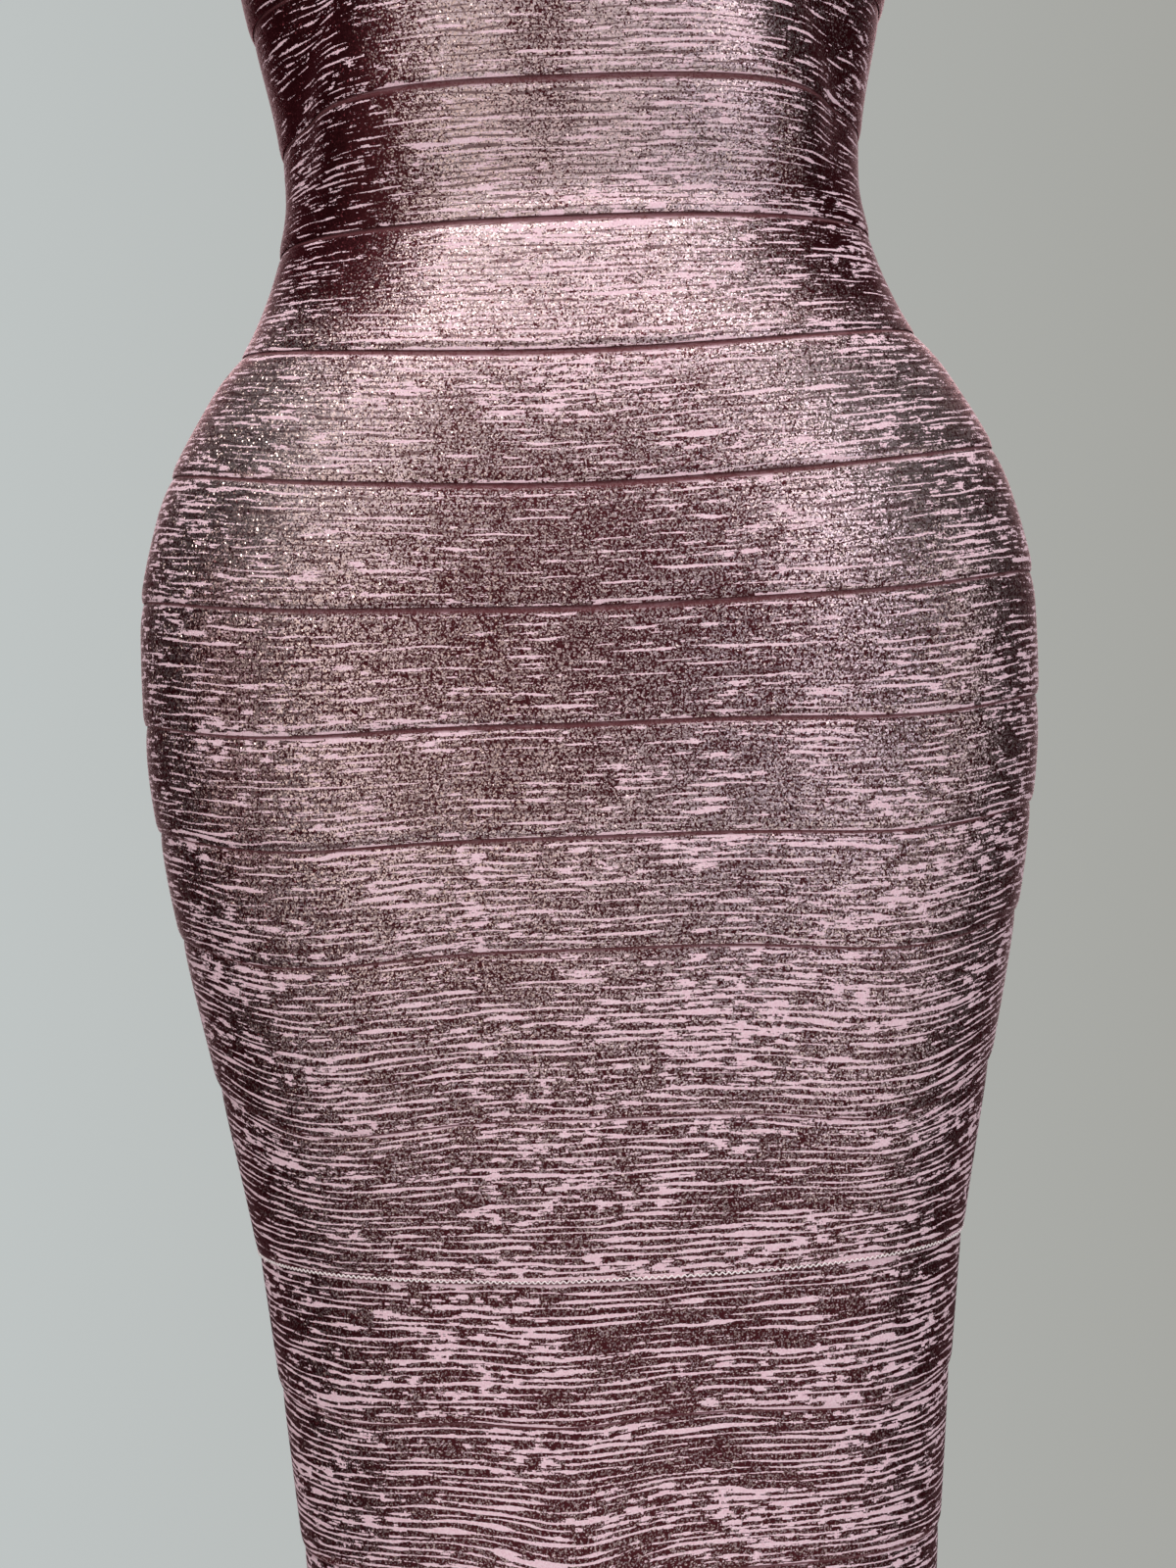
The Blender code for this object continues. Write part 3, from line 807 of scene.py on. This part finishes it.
@dataclass
class Cloth:
    """What every piece of this dress's cloth shares."""

    finishes: Finishes
    form: WornForm = WornForm()
    wall: float = 1.2 * MM
    seam_gap: float = 0.3 * MM
    tuck: float = 6.0 * MM  # how far a band's top edge runs up behind the band above
    across_stretch: float = 1.12  # worn width to cut width
    down_stretch: float = 1.02

    def shell(
        self,
        name: str,
        points: np.ndarray,
        knit: np.ndarray,
        edge: np.ndarray,
        outside: np.ndarray,
        closed: bool,
    ) -> bpy.types.Object:
        """Skin a grid of points whose rows are a closed profile.

        Args:
            name: The piece's name.
            points: Positions, by place along the piece and place round the profile.
            knit: Place on the knit in mm, for each point.
            edge: Distances from the seams in mm and how open the upper seam is, for each point.
            outside: For each place round the profile, whether the face after it shows the printed side.
            closed: Whether the piece is a ring that closes on itself.

        Returns:
            The new object.
        """
        steps, rows = points.shape[:2]
        here = np.arange(steps if closed else steps - 1)
        there = (here + 1) % steps
        row = np.arange(rows)
        after = (row + 1) % rows
        corners = ((here, row), (here, after), (there, after), (there, row))
        quads = np.stack([along[:, None] * rows + place for along, place in corners], axis=-1).reshape(-1, 4)
        faces = [tuple(int(i) for i in quad) for quad in quads]
        prints = np.tile(outside, len(here))
        if not closed:
            faces += [tuple(range(rows)), tuple(range(steps * rows - 1, (steps - 1) * rows - 1, -1))]
            prints = np.concatenate([prints, [True, True]])
        mesh = bpy.data.meshes.new(name)
        mesh.from_pydata(points.reshape(-1, 3), [], faces)
        for title, values in (("knit_mm", knit), ("edge_mm", edge)):
            data = mesh.attributes.new(title, "FLOAT_VECTOR", "POINT")
            data.data.foreach_set("vector", values.reshape(-1).astype(np.float32))
        mesh.materials.append(self.finishes.foiled)
        mesh.materials.append(self.finishes.back)
        mesh.polygons.foreach_set("material_index", np.where(prints, 0, 1).astype(np.int32))
        mesh.shade_smooth()
        piece = bpy.data.objects.new(name, mesh)
        bpy.context.scene.collection.objects.link(piece)
        return piece

    def dress(
        self, piece: bpy.types.Object, node: str, flat: tuple[float, float], rests_on: list[str]
    ) -> None:
        """Attach a piece of cloth to the body, hide the solid that it stands for and log the size it was cut
        to.

        Args:
            piece: The piece.
            node: The solid that it replaces.
            flat: The width and length that it was cut to.
            rests_on: The names of the pieces or nodes that hold it up; not used.
        """
        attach(piece, BODY)
        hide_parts(node)
        LOG.info("%s: cut %.0f x %.0f mm", piece.name, flat[0] / MM, flat[1] / MM)


@dataclass
class Band(Cloth):
    """One ring of knit, from its tucked top edge to its rolled lower edge."""

    number: int = 1
    around: int = 320
    plain_rows: int = 16
    row_packing: float = 1.5  # packs the plain rows towards the top seam
    roll_rows: int = 10
    lip_rows: int = 5
    inside_rows: int = 6
    roll_reach: float = 5.5 * MM  # height over the seam at which the rolled edge starts
    roll_height: float = 0.22 * MM
    roll_skew: float = 0.85  # less moves the fullest place of the roll down
    lip_flat: float = 0.35  # thickness of an unrolled lip, as a share of the wall
    lip_full: float = 0.60  # the same of a rolled lip
    top_corner: float = 0.9  # share of the wall at which the neckline's edge starts to round off
    side_roll: float = 0.3  # share of the roll that is left at the sides
    side_open: float = 0.25  # share of the seam's opening that is left at the sides
    fullness: float = 0.7 * MM  # how far the knit swells again just below a seam
    fullness_start: float = 3.0 * MM  # over about what height it does so
    print_shift: float = 97.0  # mm by which each band's print is moved on, so that no two match

    @property
    def upper(self) -> Seam:
        """The seam at the band's top."""
        return SEAMS[self.number - 1]

    @property
    def lower(self) -> Seam:
        """The seam at the band's foot."""
        return SEAMS[self.number]

    @property
    def drop(self) -> float:
        """The height between the two seams at the middle front."""
        return self.upper.height - self.lower.height

    def profile(self, roll: float) -> tuple[np.ndarray, np.ndarray, np.ndarray, np.ndarray]:
        """Work out the band's cut edge, down the outside, round the lip and up the inside.

        Args:
            roll: How far the lower edge is rolled out, from 0, flat, to 1.

        Returns:
            For each row: its share of the way down between the seams' starting heights, its height over that
            place, its stand-off from the wearer, and whether the face after it is printed.
        """
        lap = self.wall + self.seam_gap
        lip = self.wall * (self.lip_flat + (self.lip_full - self.lip_flat) * roll)
        first = self.number == 1
        rows = []
        if first:
            rows += [(0.0, 0.0, self.wall / 2), (0.0, -self.wall / 4, self.wall * self.top_corner)]
        else:
            rows += [(0.0, self.tuck, self.wall / 2), (0.0, self.tuck - self.wall / 2, self.wall)]
            rows += [(0.0, self.tuck / 2, self.wall)]
        for share in np.linspace(0.0, 1.0, self.plain_rows)[1 if first else 0 :] ** self.row_packing:
            swell = self.fullness * (1 - math.exp(-share * self.drop / self.fullness_start)) * (1 - share**2)
            rows.append((share, self.roll_reach * share, lap * share + self.wall + swell))
        for place in np.linspace(0.0, 1.0, self.roll_rows + 1)[1:]:
            over = self.roll_reach + (lip / 2 - self.roll_reach) * place
            bulge = self.roll_height * roll * math.sin(math.pi * min(1.0, place * self.roll_skew)) ** 2
            rows.append((1.0, over, lap + self.wall + (lip - self.wall) * place**2 + bulge))
        edge_out = rows[-1][2]
        for turn in np.linspace(0.0, math.pi, self.lip_rows + 2)[1:]:
            middle, half = (edge_out + lap) / 2, (edge_out - lap) / 2
            rows.append((1.0, lip / 2 * (1 - math.sin(turn)), middle + half * math.cos(turn)))
        printed = len(rows)
        for share in np.linspace(1.0, 0.0, self.inside_rows):
            rows.append((share, self.roll_reach * share, lap * share))
        if not first:
            rows.append((0.0, self.tuck - self.wall / 2, 0.0))
        shares, overs, offs = (np.array(column) for column in zip(*rows))
        return shares, overs, offs, np.arange(len(rows)) < printed - 1

    def build(self) -> bpy.types.Object:
        """Make and dress the band.

        Returns:
            The band's object.
        """
        turn = np.linspace(0, math.tau, self.around, endpoint=False)[:, None]
        share, over_full, off_full, printed = self.profile(self.lower.roll)
        _, over_flat, off_flat, _ = self.profile(self.lower.roll * self.side_roll)
        level = np.cos(turn) ** 2
        over = over_flat + (over_full - over_flat) * level
        off = off_flat + (off_full - off_flat) * level
        high, low = self.form.seam_height(self.upper, turn), self.form.seam_height(self.lower, turn)
        z = high + (low - high) * share + over
        turns = turn + 0 * z
        points = self.form.inside(turns, z) + off[..., None] * self.form.outward(turns, z)
        down = (high - z) / (high - low)
        course = self.drop * down - self.upper.height - self.form.course_sag(points)
        knit = np.stack([points[..., 0], points[..., 1], course], axis=-1) / MM
        knit[..., 2] += self.print_shift * self.number
        open_seam = self.upper.roll * (self.side_open + (1 - self.side_open) * np.cos(turns) ** 2)
        edge = np.stack([(high - z) / MM, (z - low) / MM, open_seam], axis=-1)
        piece = self.shell(f"knit_{self.upper.name}", points, knit, edge, printed, closed=True)
        middle = self.form.inside(turn[:, 0], (high + low)[:, 0] / 2)
        girth = float(np.linalg.norm(np.roll(middle, -1, axis=0) - middle, axis=1).sum())
        length = self.drop + (self.tuck if self.number > 1 else 0.0)
        above = ["strap_left", "strap_right"] if self.number == 1 else [SEAMS[self.number - 2].name]
        self.dress(piece, self.upper.name, (girth / self.across_stretch, length / self.down_stretch), above)
        return piece


class Side(Enum):
    """The wearer's side that a strap is on, with its sign along X."""

    LEFT = 1.0
    RIGHT = -1.0


@dataclass
class Strap(Cloth):
    """A flat shoulder strap of the same knit, sewn inside the top band at both ends."""

    side: Side = Side.LEFT
    width: float = 36.0 * MM
    doubled: float = 1.6 * MM  # two layers of the knit pressed together
    lap: float = 14.0 * MM
    clear: float = 1.0 * MM
    front_turn: float = math.radians(36.0)
    back_turn: float = math.radians(145.0)
    turn_step: float = 0.01  # radians: a step round the body that is short against its curves
    steps: int = 110
    lap_steps: int = 8
    columns: int = 12
    print_start: float = 3000.0  # mm along the print at which the straps are cut
    print_apart: float = 500.0  # mm along the print from there to each of them
    seam_far: float = 20.0  # mm, past the reach of any seam's shade

    @property
    def name(self) -> str:
        """The strap's name."""
        return f"strap_{self.side.name.lower()}"

    def sewn_row(self, turn: float, above: float) -> np.ndarray:
        """Find points across the strap where it lies inside the top band.

        Args:
            turn: The angle of the strap's middle.
            above: Height over the band's top edge.

        Returns:
            The points, from the strap's inner edge to its outer edge.
        """
        edge = SEAMS[0]
        near = np.array([turn - self.turn_step, turn + self.turn_step])
        ends = self.form.inside(near, np.full(2, edge.height))
        per_turn = float(np.linalg.norm(ends[1] - ends[0])) / (2 * self.turn_step)
        off = np.linspace(-0.5, 0.5, self.columns + 1) * self.width / per_turn
        turns = turn + off * (1 if math.cos(turn) > 0 else -1)
        z = self.form.seam_height(edge, turns) + above
        points = self.form.inside(turns, z) - (self.clear + self.doubled) * self.form.outward(turns, z)
        points[:, 0] *= self.side.value
        return points

    def free_row(self, share: float) -> np.ndarray:
        """Find points across the strap where it hangs free.

        Args:
            share: The share of the way from the front sewn end to the back one.

        Returns:
            The points, from the strap's inner edge to its outer edge.
        """
        route = np.array(STRAP_ROUTE)
        place = share * (len(route) - 1)
        i = min(int(place), len(route) - 2)
        s = place - i
        before, start, end, after = (route[min(max(i + k, 0), len(route) - 1)] for k in (-1, 0, 1, 2))
        # A Catmull-Rom curve through the route's points
        point = 0.5 * (
            2 * start
            + (end - before) * s
            + (2 * before - 5 * start + 4 * end - after) * s * s
            + (3 * start - before - 3 * end + after) * s**3
        )
        middle = StrapPoint(*point)
        off = np.linspace(-0.5, 0.5, self.columns + 1)
        across = math.sqrt(self.width**2 - middle.outer_drop**2) * off
        side = self.side.value * (middle.side + across)
        return np.stack([side, middle.depth + 0 * off, middle.height - middle.outer_drop * off], axis=-1)

    def build(self) -> bpy.types.Object:
        """Make and dress the strap.

        Returns:
            The strap's object.
        """
        laps = np.linspace(-self.lap, 0.0, self.lap_steps)
        grid = [self.sewn_row(self.front_turn, above) for above in laps]
        grid += [self.free_row(step / self.steps) for step in range(self.steps + 1)]
        grid += [self.sewn_row(self.back_turn, above) for above in laps[::-1]]
        under = np.array(grid)
        sign = self.side.value
        along, across = np.gradient(under, axis=0), np.gradient(under, axis=1)
        outward = np.cross(across * sign, along)
        outward /= np.linalg.norm(outward, axis=2, keepdims=True)
        over = under + self.doubled * outward
        points = np.concatenate([over, under[:, ::-1]], axis=1)
        middle_line = under[:, self.columns // 2]
        steps = np.linalg.norm(np.diff(middle_line, axis=0), axis=1)
        length = np.concatenate([[0.0], np.cumsum(steps)])
        place = np.linspace(-0.5, 0.5, self.columns + 1) * self.width
        cross_place = np.concatenate([place, place[::-1]])
        if self.side is Side.RIGHT:
            points, cross_place = points[:, ::-1], cross_place[::-1]
        level = 0 * points[..., 0]
        knit = np.stack([length[:, None] + level, level, cross_place + level], axis=-1) / MM
        knit[..., 2] += self.print_start + self.print_apart * sign
        edge = np.zeros(points.shape) + np.array([self.seam_far, self.seam_far, 0.0])
        printed = np.full(points.shape[1], True)
        piece = self.shell(f"knit_{self.name}", points, knit, edge, printed, closed=False)
        cut = (self.width, float(length[-1]) / self.down_stretch)
        self.dress(piece, self.name, cut, ["knit_band_01_top_edge"])
        return piece


@dataclass
class StitchRow:
    """One shiny thread sewn round the dress along a seam, in a wave that swings up and down over the edge."""

    finishes: Finishes
    number: int  # of the seam in the table
    form: WornForm = WornForm()
    above: float = 0.5 * MM  # height of the row's middle over the seam
    off: float = 2.4 * MM  # stand-off of the thread's middle from the wearer
    pitch: float = 2.3 * MM
    swing: float = 0.45 * MM
    thread: float = 0.30 * MM  # radius
    bends: int = 8  # points to a stitch
    samples: int = 720  # points round the dress at which the seam's length is measured
    round_steps: int = 1  # extra facets to a quarter of the thread

    def build(self) -> bpy.types.Object:
        """Make the row.

        Returns:
            The row's object.
        """
        seam = SEAMS[self.number]
        turn = np.linspace(0, math.tau, self.samples, endpoint=False)
        path = self.form.inside(turn, self.form.seam_height(seam, turn) + self.above)
        steps = np.linalg.norm(np.roll(path, -1, axis=0) - path, axis=1)
        run = np.concatenate([[0.0], np.cumsum(steps)])
        stitches = round(run[-1] / self.pitch)
        at = np.linspace(0.0, run[-1], stitches * self.bends, endpoint=False)
        turns = np.interp(at, run, np.append(turn, math.tau))
        wave = np.sin(np.arange(len(at)) * math.tau / self.bends)
        z = self.form.seam_height(seam, turns) + self.above + self.swing * wave
        points = self.form.inside(turns, z) + self.off * self.form.outward(turns, z)
        curve = bpy.data.curves.new(f"stitches_{seam.name}", "CURVE")
        curve.dimensions = "3D"
        curve.bevel_depth, curve.bevel_resolution = self.thread, self.round_steps
        spline = curve.splines.new("POLY")
        spline.points.add(len(points) - 1)
        spline.points.foreach_set("co", np.append(points, np.ones((len(points), 1)), axis=1).ravel())
        spline.use_cyclic_u = True
        piece = bpy.data.objects.new(curve.name, curve)
        bpy.context.scene.collection.objects.link(piece)
        bpy.ops.object.select_all(action="DESELECT")
        piece.select_set(True)
        bpy.context.view_layer.objects.active = piece
        bpy.ops.object.convert(target="MESH")
        piece = bpy.context.object
        piece.data.materials.clear()
        piece.data.materials.append(self.finishes.thread)
        piece.data.shade_smooth()
        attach(piece, BODY)
        return piece


# ---------------------------------------------------------------- studio


class Lamp(NamedTuple):
    """A soft area light, placed by its direction from the dress and turned to face it."""

    name: str
    azimuth: float  # degrees from the dress's front towards +X
    elevation: float  # degrees above level
    distance: float
    width: float
    height: float
    power: float
    colour: str


@dataclass(frozen=True)
class Studio:
    """The camera, the soft light and the plain floor."""

    lens: float = 52.0
    sensor: float = 36.0
    camera_place: tuple[float, float, float] = (-0.0024, -0.92, -0.634)
    camera_roll: float = math.radians(-2.1)
    floor_height: float = -1.40  # a standing wearer's feet
    floor_radius: float = 0.85
    floor_sides: int = 96
    # the backdrop's colours, painted lighter to the left and darker to the right as light and shade on a wall
    wall_left: str = "C4CACA"
    wall_right: str = "A09F99"
    wall_turn: float = 0.36  # sine of the angle off the middle at which the wall has those colours
    room: str = "F4F6F6"
    room_strength: float = 0.26
    side_strength: float = 0.09  # of the dim parts of the room to both sides
    dim_from: float = 0.68  # sine of the angle off the middle at which the room starts to dim
    dim_to: float = 0.92
    aim: tuple[float, float, float] = (0.0, 0.0, -0.58)
    lamps: tuple[Lamp, ...] = (
        Lamp("ceiling_far_left", -62.0, 38.0, 1.9, 0.75, 0.45, 0.4, "FFFFFF"),
        Lamp("ceiling_left", -36.0, 38.0, 1.9, 0.75, 0.45, 0.85, "FFFAF6"),
        Lamp("ceiling_middle", -10.0, 38.0, 1.9, 0.75, 0.45, 0.85, "FFFFFF"),
        Lamp("ceiling_right", 14.0, 38.0, 1.9, 0.75, 0.45, 1.25, "FBFAFF"),
        Lamp("overhead", 0.0, 64.0, 1.9, 1.6, 0.9, 18.0, "FFFFFF"),
        Lamp("overhead_left", -62.0, 54.0, 1.9, 1.2, 0.8, 3.4, "FFFFFF"),
        Lamp("overhead_right", 62.0, 54.0, 1.9, 1.2, 0.8, 2.6, "FFFFFF"),
        Lamp("top", 0.0, 82.0, 1.9, 1.6, 1.2, 6.0, "FFFFFF"),
        Lamp("high_left", -45.0, 22.0, 1.8, 0.75, 0.5, 0.8, "FFFFFF"),
        Lamp("high_middle_left", -20.0, 22.0, 1.8, 0.75, 0.5, 0.6, "FFFFFF"),
        Lamp("high_middle_right", 8.0, 22.0, 1.8, 0.75, 0.5, 0.48, "FFFFFF"),
        Lamp("high_right", 38.0, 22.0, 1.8, 0.75, 0.5, 2.0, "FAFAFF"),
        Lamp("wall_far_left", -75.0, 2.0, 1.6, 0.6, 0.7, 0.7, "FFE8E6"),
        Lamp("wall_left", -38.0, 2.0, 1.6, 0.9, 0.7, 1.5, "FFF6EE"),
        Lamp("wall_middle_left", -9.0, 2.0, 1.6, 0.45, 0.7, 0.60, "FFEFE2"),
        Lamp("wall_middle_right", 9.0, 2.0, 1.6, 0.45, 0.7, 0.44, "F2F2FF"),
        Lamp("wall_right", 38.0, 2.0, 1.6, 0.9, 0.7, 1.4, "F2F2FF"),
        Lamp("wall_far_right", 75.0, 2.0, 1.6, 0.6, 0.7, 1.0, "FFFFFF"),
        Lamp("low_left", -55.0, -22.0, 1.6, 1.2, 0.5, 0.8, "FFFFFF"),
        Lamp("low_middle", 0.0, -22.0, 1.6, 1.2, 0.5, 1.06, "FFFFFF"),
        Lamp("low_right", 55.0, -22.0, 1.6, 1.2, 0.5, 1.42, "FFFFFF"),
        Lamp("floor_bounce", 0.0, -58.0, 0.9, 1.4, 0.6, 1.2, "FFFFFF"),
        Lamp("back_ceiling", 180.0, 38.0, 1.9, 1.9, 0.45, 2.5, "FFFFFF"),
        Lamp("back_overhead", 180.0, 64.0, 1.9, 1.6, 0.9, 7.0, "FFFFFF"),
        Lamp("back_wall", 180.0, 8.0, 1.9, 2.4, 1.6, 18.0, "FFFFFF"),
    )

    def build(self) -> None:
        """Make the camera, the lights, the surroundings and the floor."""
        bpy.context.scene.view_settings.view_transform = "Standard"
        self.add_camera()
        for lamp in self.lamps:
            self.add_lamp(lamp)
        self.add_room()
        self.add_floor()

    def add_camera(self) -> None:
        """Add the camera in front of the hips."""
        data = bpy.data.cameras.new("camera")
        data.lens, data.sensor_width = self.lens, self.sensor
        camera = bpy.data.objects.new("camera", data)
        bpy.context.scene.collection.objects.link(camera)
        upright = Matrix.Rotation(math.radians(90), 4, "X") @ Matrix.Rotation(self.camera_roll, 4, "Z")
        camera.matrix_world = Matrix.Translation(self.camera_place) @ upright
        bpy.context.scene.camera = camera

    def add_lamp(self, lamp: Lamp) -> None:
        """Add one area light, which the camera doesn't see.

        Args:
            lamp: A row of the table of lamps.
        """
        data = bpy.data.lights.new(lamp.name, "AREA")
        data.shape, data.size, data.size_y = "RECTANGLE", lamp.width, lamp.height
        data.energy = lamp.power
        data.color = linear(lamp.colour)[:3]
        light = bpy.data.objects.new(lamp.name, data)
        bpy.context.scene.collection.objects.link(light)
        azimuth, elevation = math.radians(lamp.azimuth), math.radians(lamp.elevation)
        flat = math.cos(elevation)
        away = Vector((math.sin(azimuth) * flat, -math.cos(azimuth) * flat, math.sin(elevation)))
        facing = away.to_track_quat("Z", "Y").to_matrix().to_4x4()
        light.matrix_world = Matrix.Translation(Vector(self.aim) + away * lamp.distance) @ facing
        light.visible_camera = False

    def add_room(self) -> None:
        """Make the backdrop that the camera sees, painted lighter to the left and darker to the right, and
        the dimmer room that the foil reflects.
        """
        world = bpy.data.worlds.new("studio")
        world.use_nodes = True
        bpy.context.scene.world = world
        tree = world.node_tree
        tree.nodes.clear()
        toward = add_node(tree, "TexCoord").outputs["Generated"]
        aside = add_node(tree, "SeparateXYZ", {0: toward}).outputs[0]
        share = {"Value": aside, "From Min": -self.wall_turn, "From Max": self.wall_turn}
        share = add_node(tree, "MapRange", share).outputs[0]
        # painted light and shade on the backdrop: lighter to the left, darker to the right
        wall = {0: share, 6: linear(self.wall_left), 7: linear(self.wall_right)}
        wall = add_node(tree, "Mix", wall, data_type="RGBA").outputs[2]
        seen = add_node(tree, "Background", {0: wall}).outputs[0]
        level = add_node(tree, "Math", {0: aside}, operation="ABSOLUTE").outputs[0]
        dim = {"Value": level, "From Min": self.dim_from, "From Max": self.dim_to}
        dim |= {"To Min": self.room_strength, "To Max": self.side_strength}
        strength = add_node(tree, "MapRange", dim, interpolation_type="SMOOTHSTEP").outputs[0]
        room = add_node(tree, "Background", {0: linear(self.room), 1: strength}).outputs[0]
        straight = add_node(tree, "LightPath").outputs["Is Camera Ray"]
        both = add_node(tree, "MixShader", {0: straight, 1: room, 2: seen}).outputs[0]
        add_node(tree, "OutputWorld", {"Surface": both})

    def add_floor(self) -> None:
        """Add a plain pale floor under the dress."""
        bpy.ops.object.select_all(action="DESELECT")
        place = (0, 0, self.floor_height)
        bpy.ops.mesh.primitive_circle_add(
            vertices=self.floor_sides, radius=self.floor_radius, fill_type="NGON", location=place
        )
        floor = bpy.context.object
        floor.name = "floor"
        bpy.ops.object.transform_apply(location=True, rotation=False, scale=False)
        floor.data.materials.append(PaintedFloor().material())


def main() -> None:
    """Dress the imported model."""
    logging.basicConfig(level=logging.INFO, format="%(name)s: %(message)s")
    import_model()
    finishes = Finishes(FoiledKnit().material(), KnitBack().material(), StitchThread().material())
    pieces = [Band(finishes, number=number).build() for number in range(1, len(SEAMS))]
    pieces += [Strap(finishes, side=side).build() for side in Side]
    pieces.append(StitchRow(finishes, number=STITCHED_SEAM).build())
    for piece in pieces:
        LOG.info("%s: %d faces", piece.name, len(piece.data.polygons))
    Studio().build()


if __name__ == "__main__":
    main()
